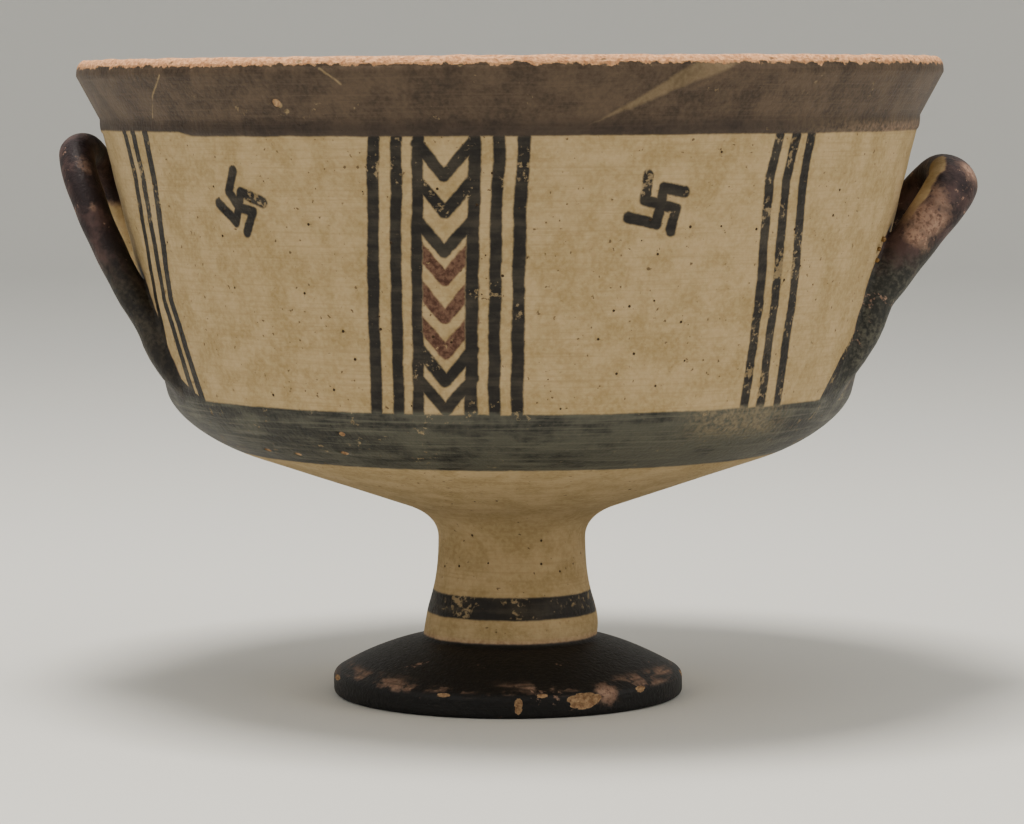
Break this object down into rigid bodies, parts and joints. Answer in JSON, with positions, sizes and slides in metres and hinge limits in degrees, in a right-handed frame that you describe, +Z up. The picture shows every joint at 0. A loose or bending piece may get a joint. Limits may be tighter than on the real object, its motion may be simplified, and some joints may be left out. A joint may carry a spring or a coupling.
{
  "type": "footed drinking cup",
  "caption": "Deep flared drinking cup of painted fired clay on a short stem and disc foot, with upswept loop handles low on its sides.",
  "frame": {"origin": "middle of the ring that the foot rests on, at the level of the surface the cup stands on", "axes": "+Z up through the stem, X through the two handles with the thicker, lower one at +X, -Y towards the painted front"},
  "size_m": [0.2333, 0.22, 0.1627],
  "materials": {
    "painted_clay": "matt buff clay with dark brown and black slip painting, worn at the edges"
  },
  "bodies": {
    "root": {"kylix": "painted_clay"}
  },
  "joints": []
}
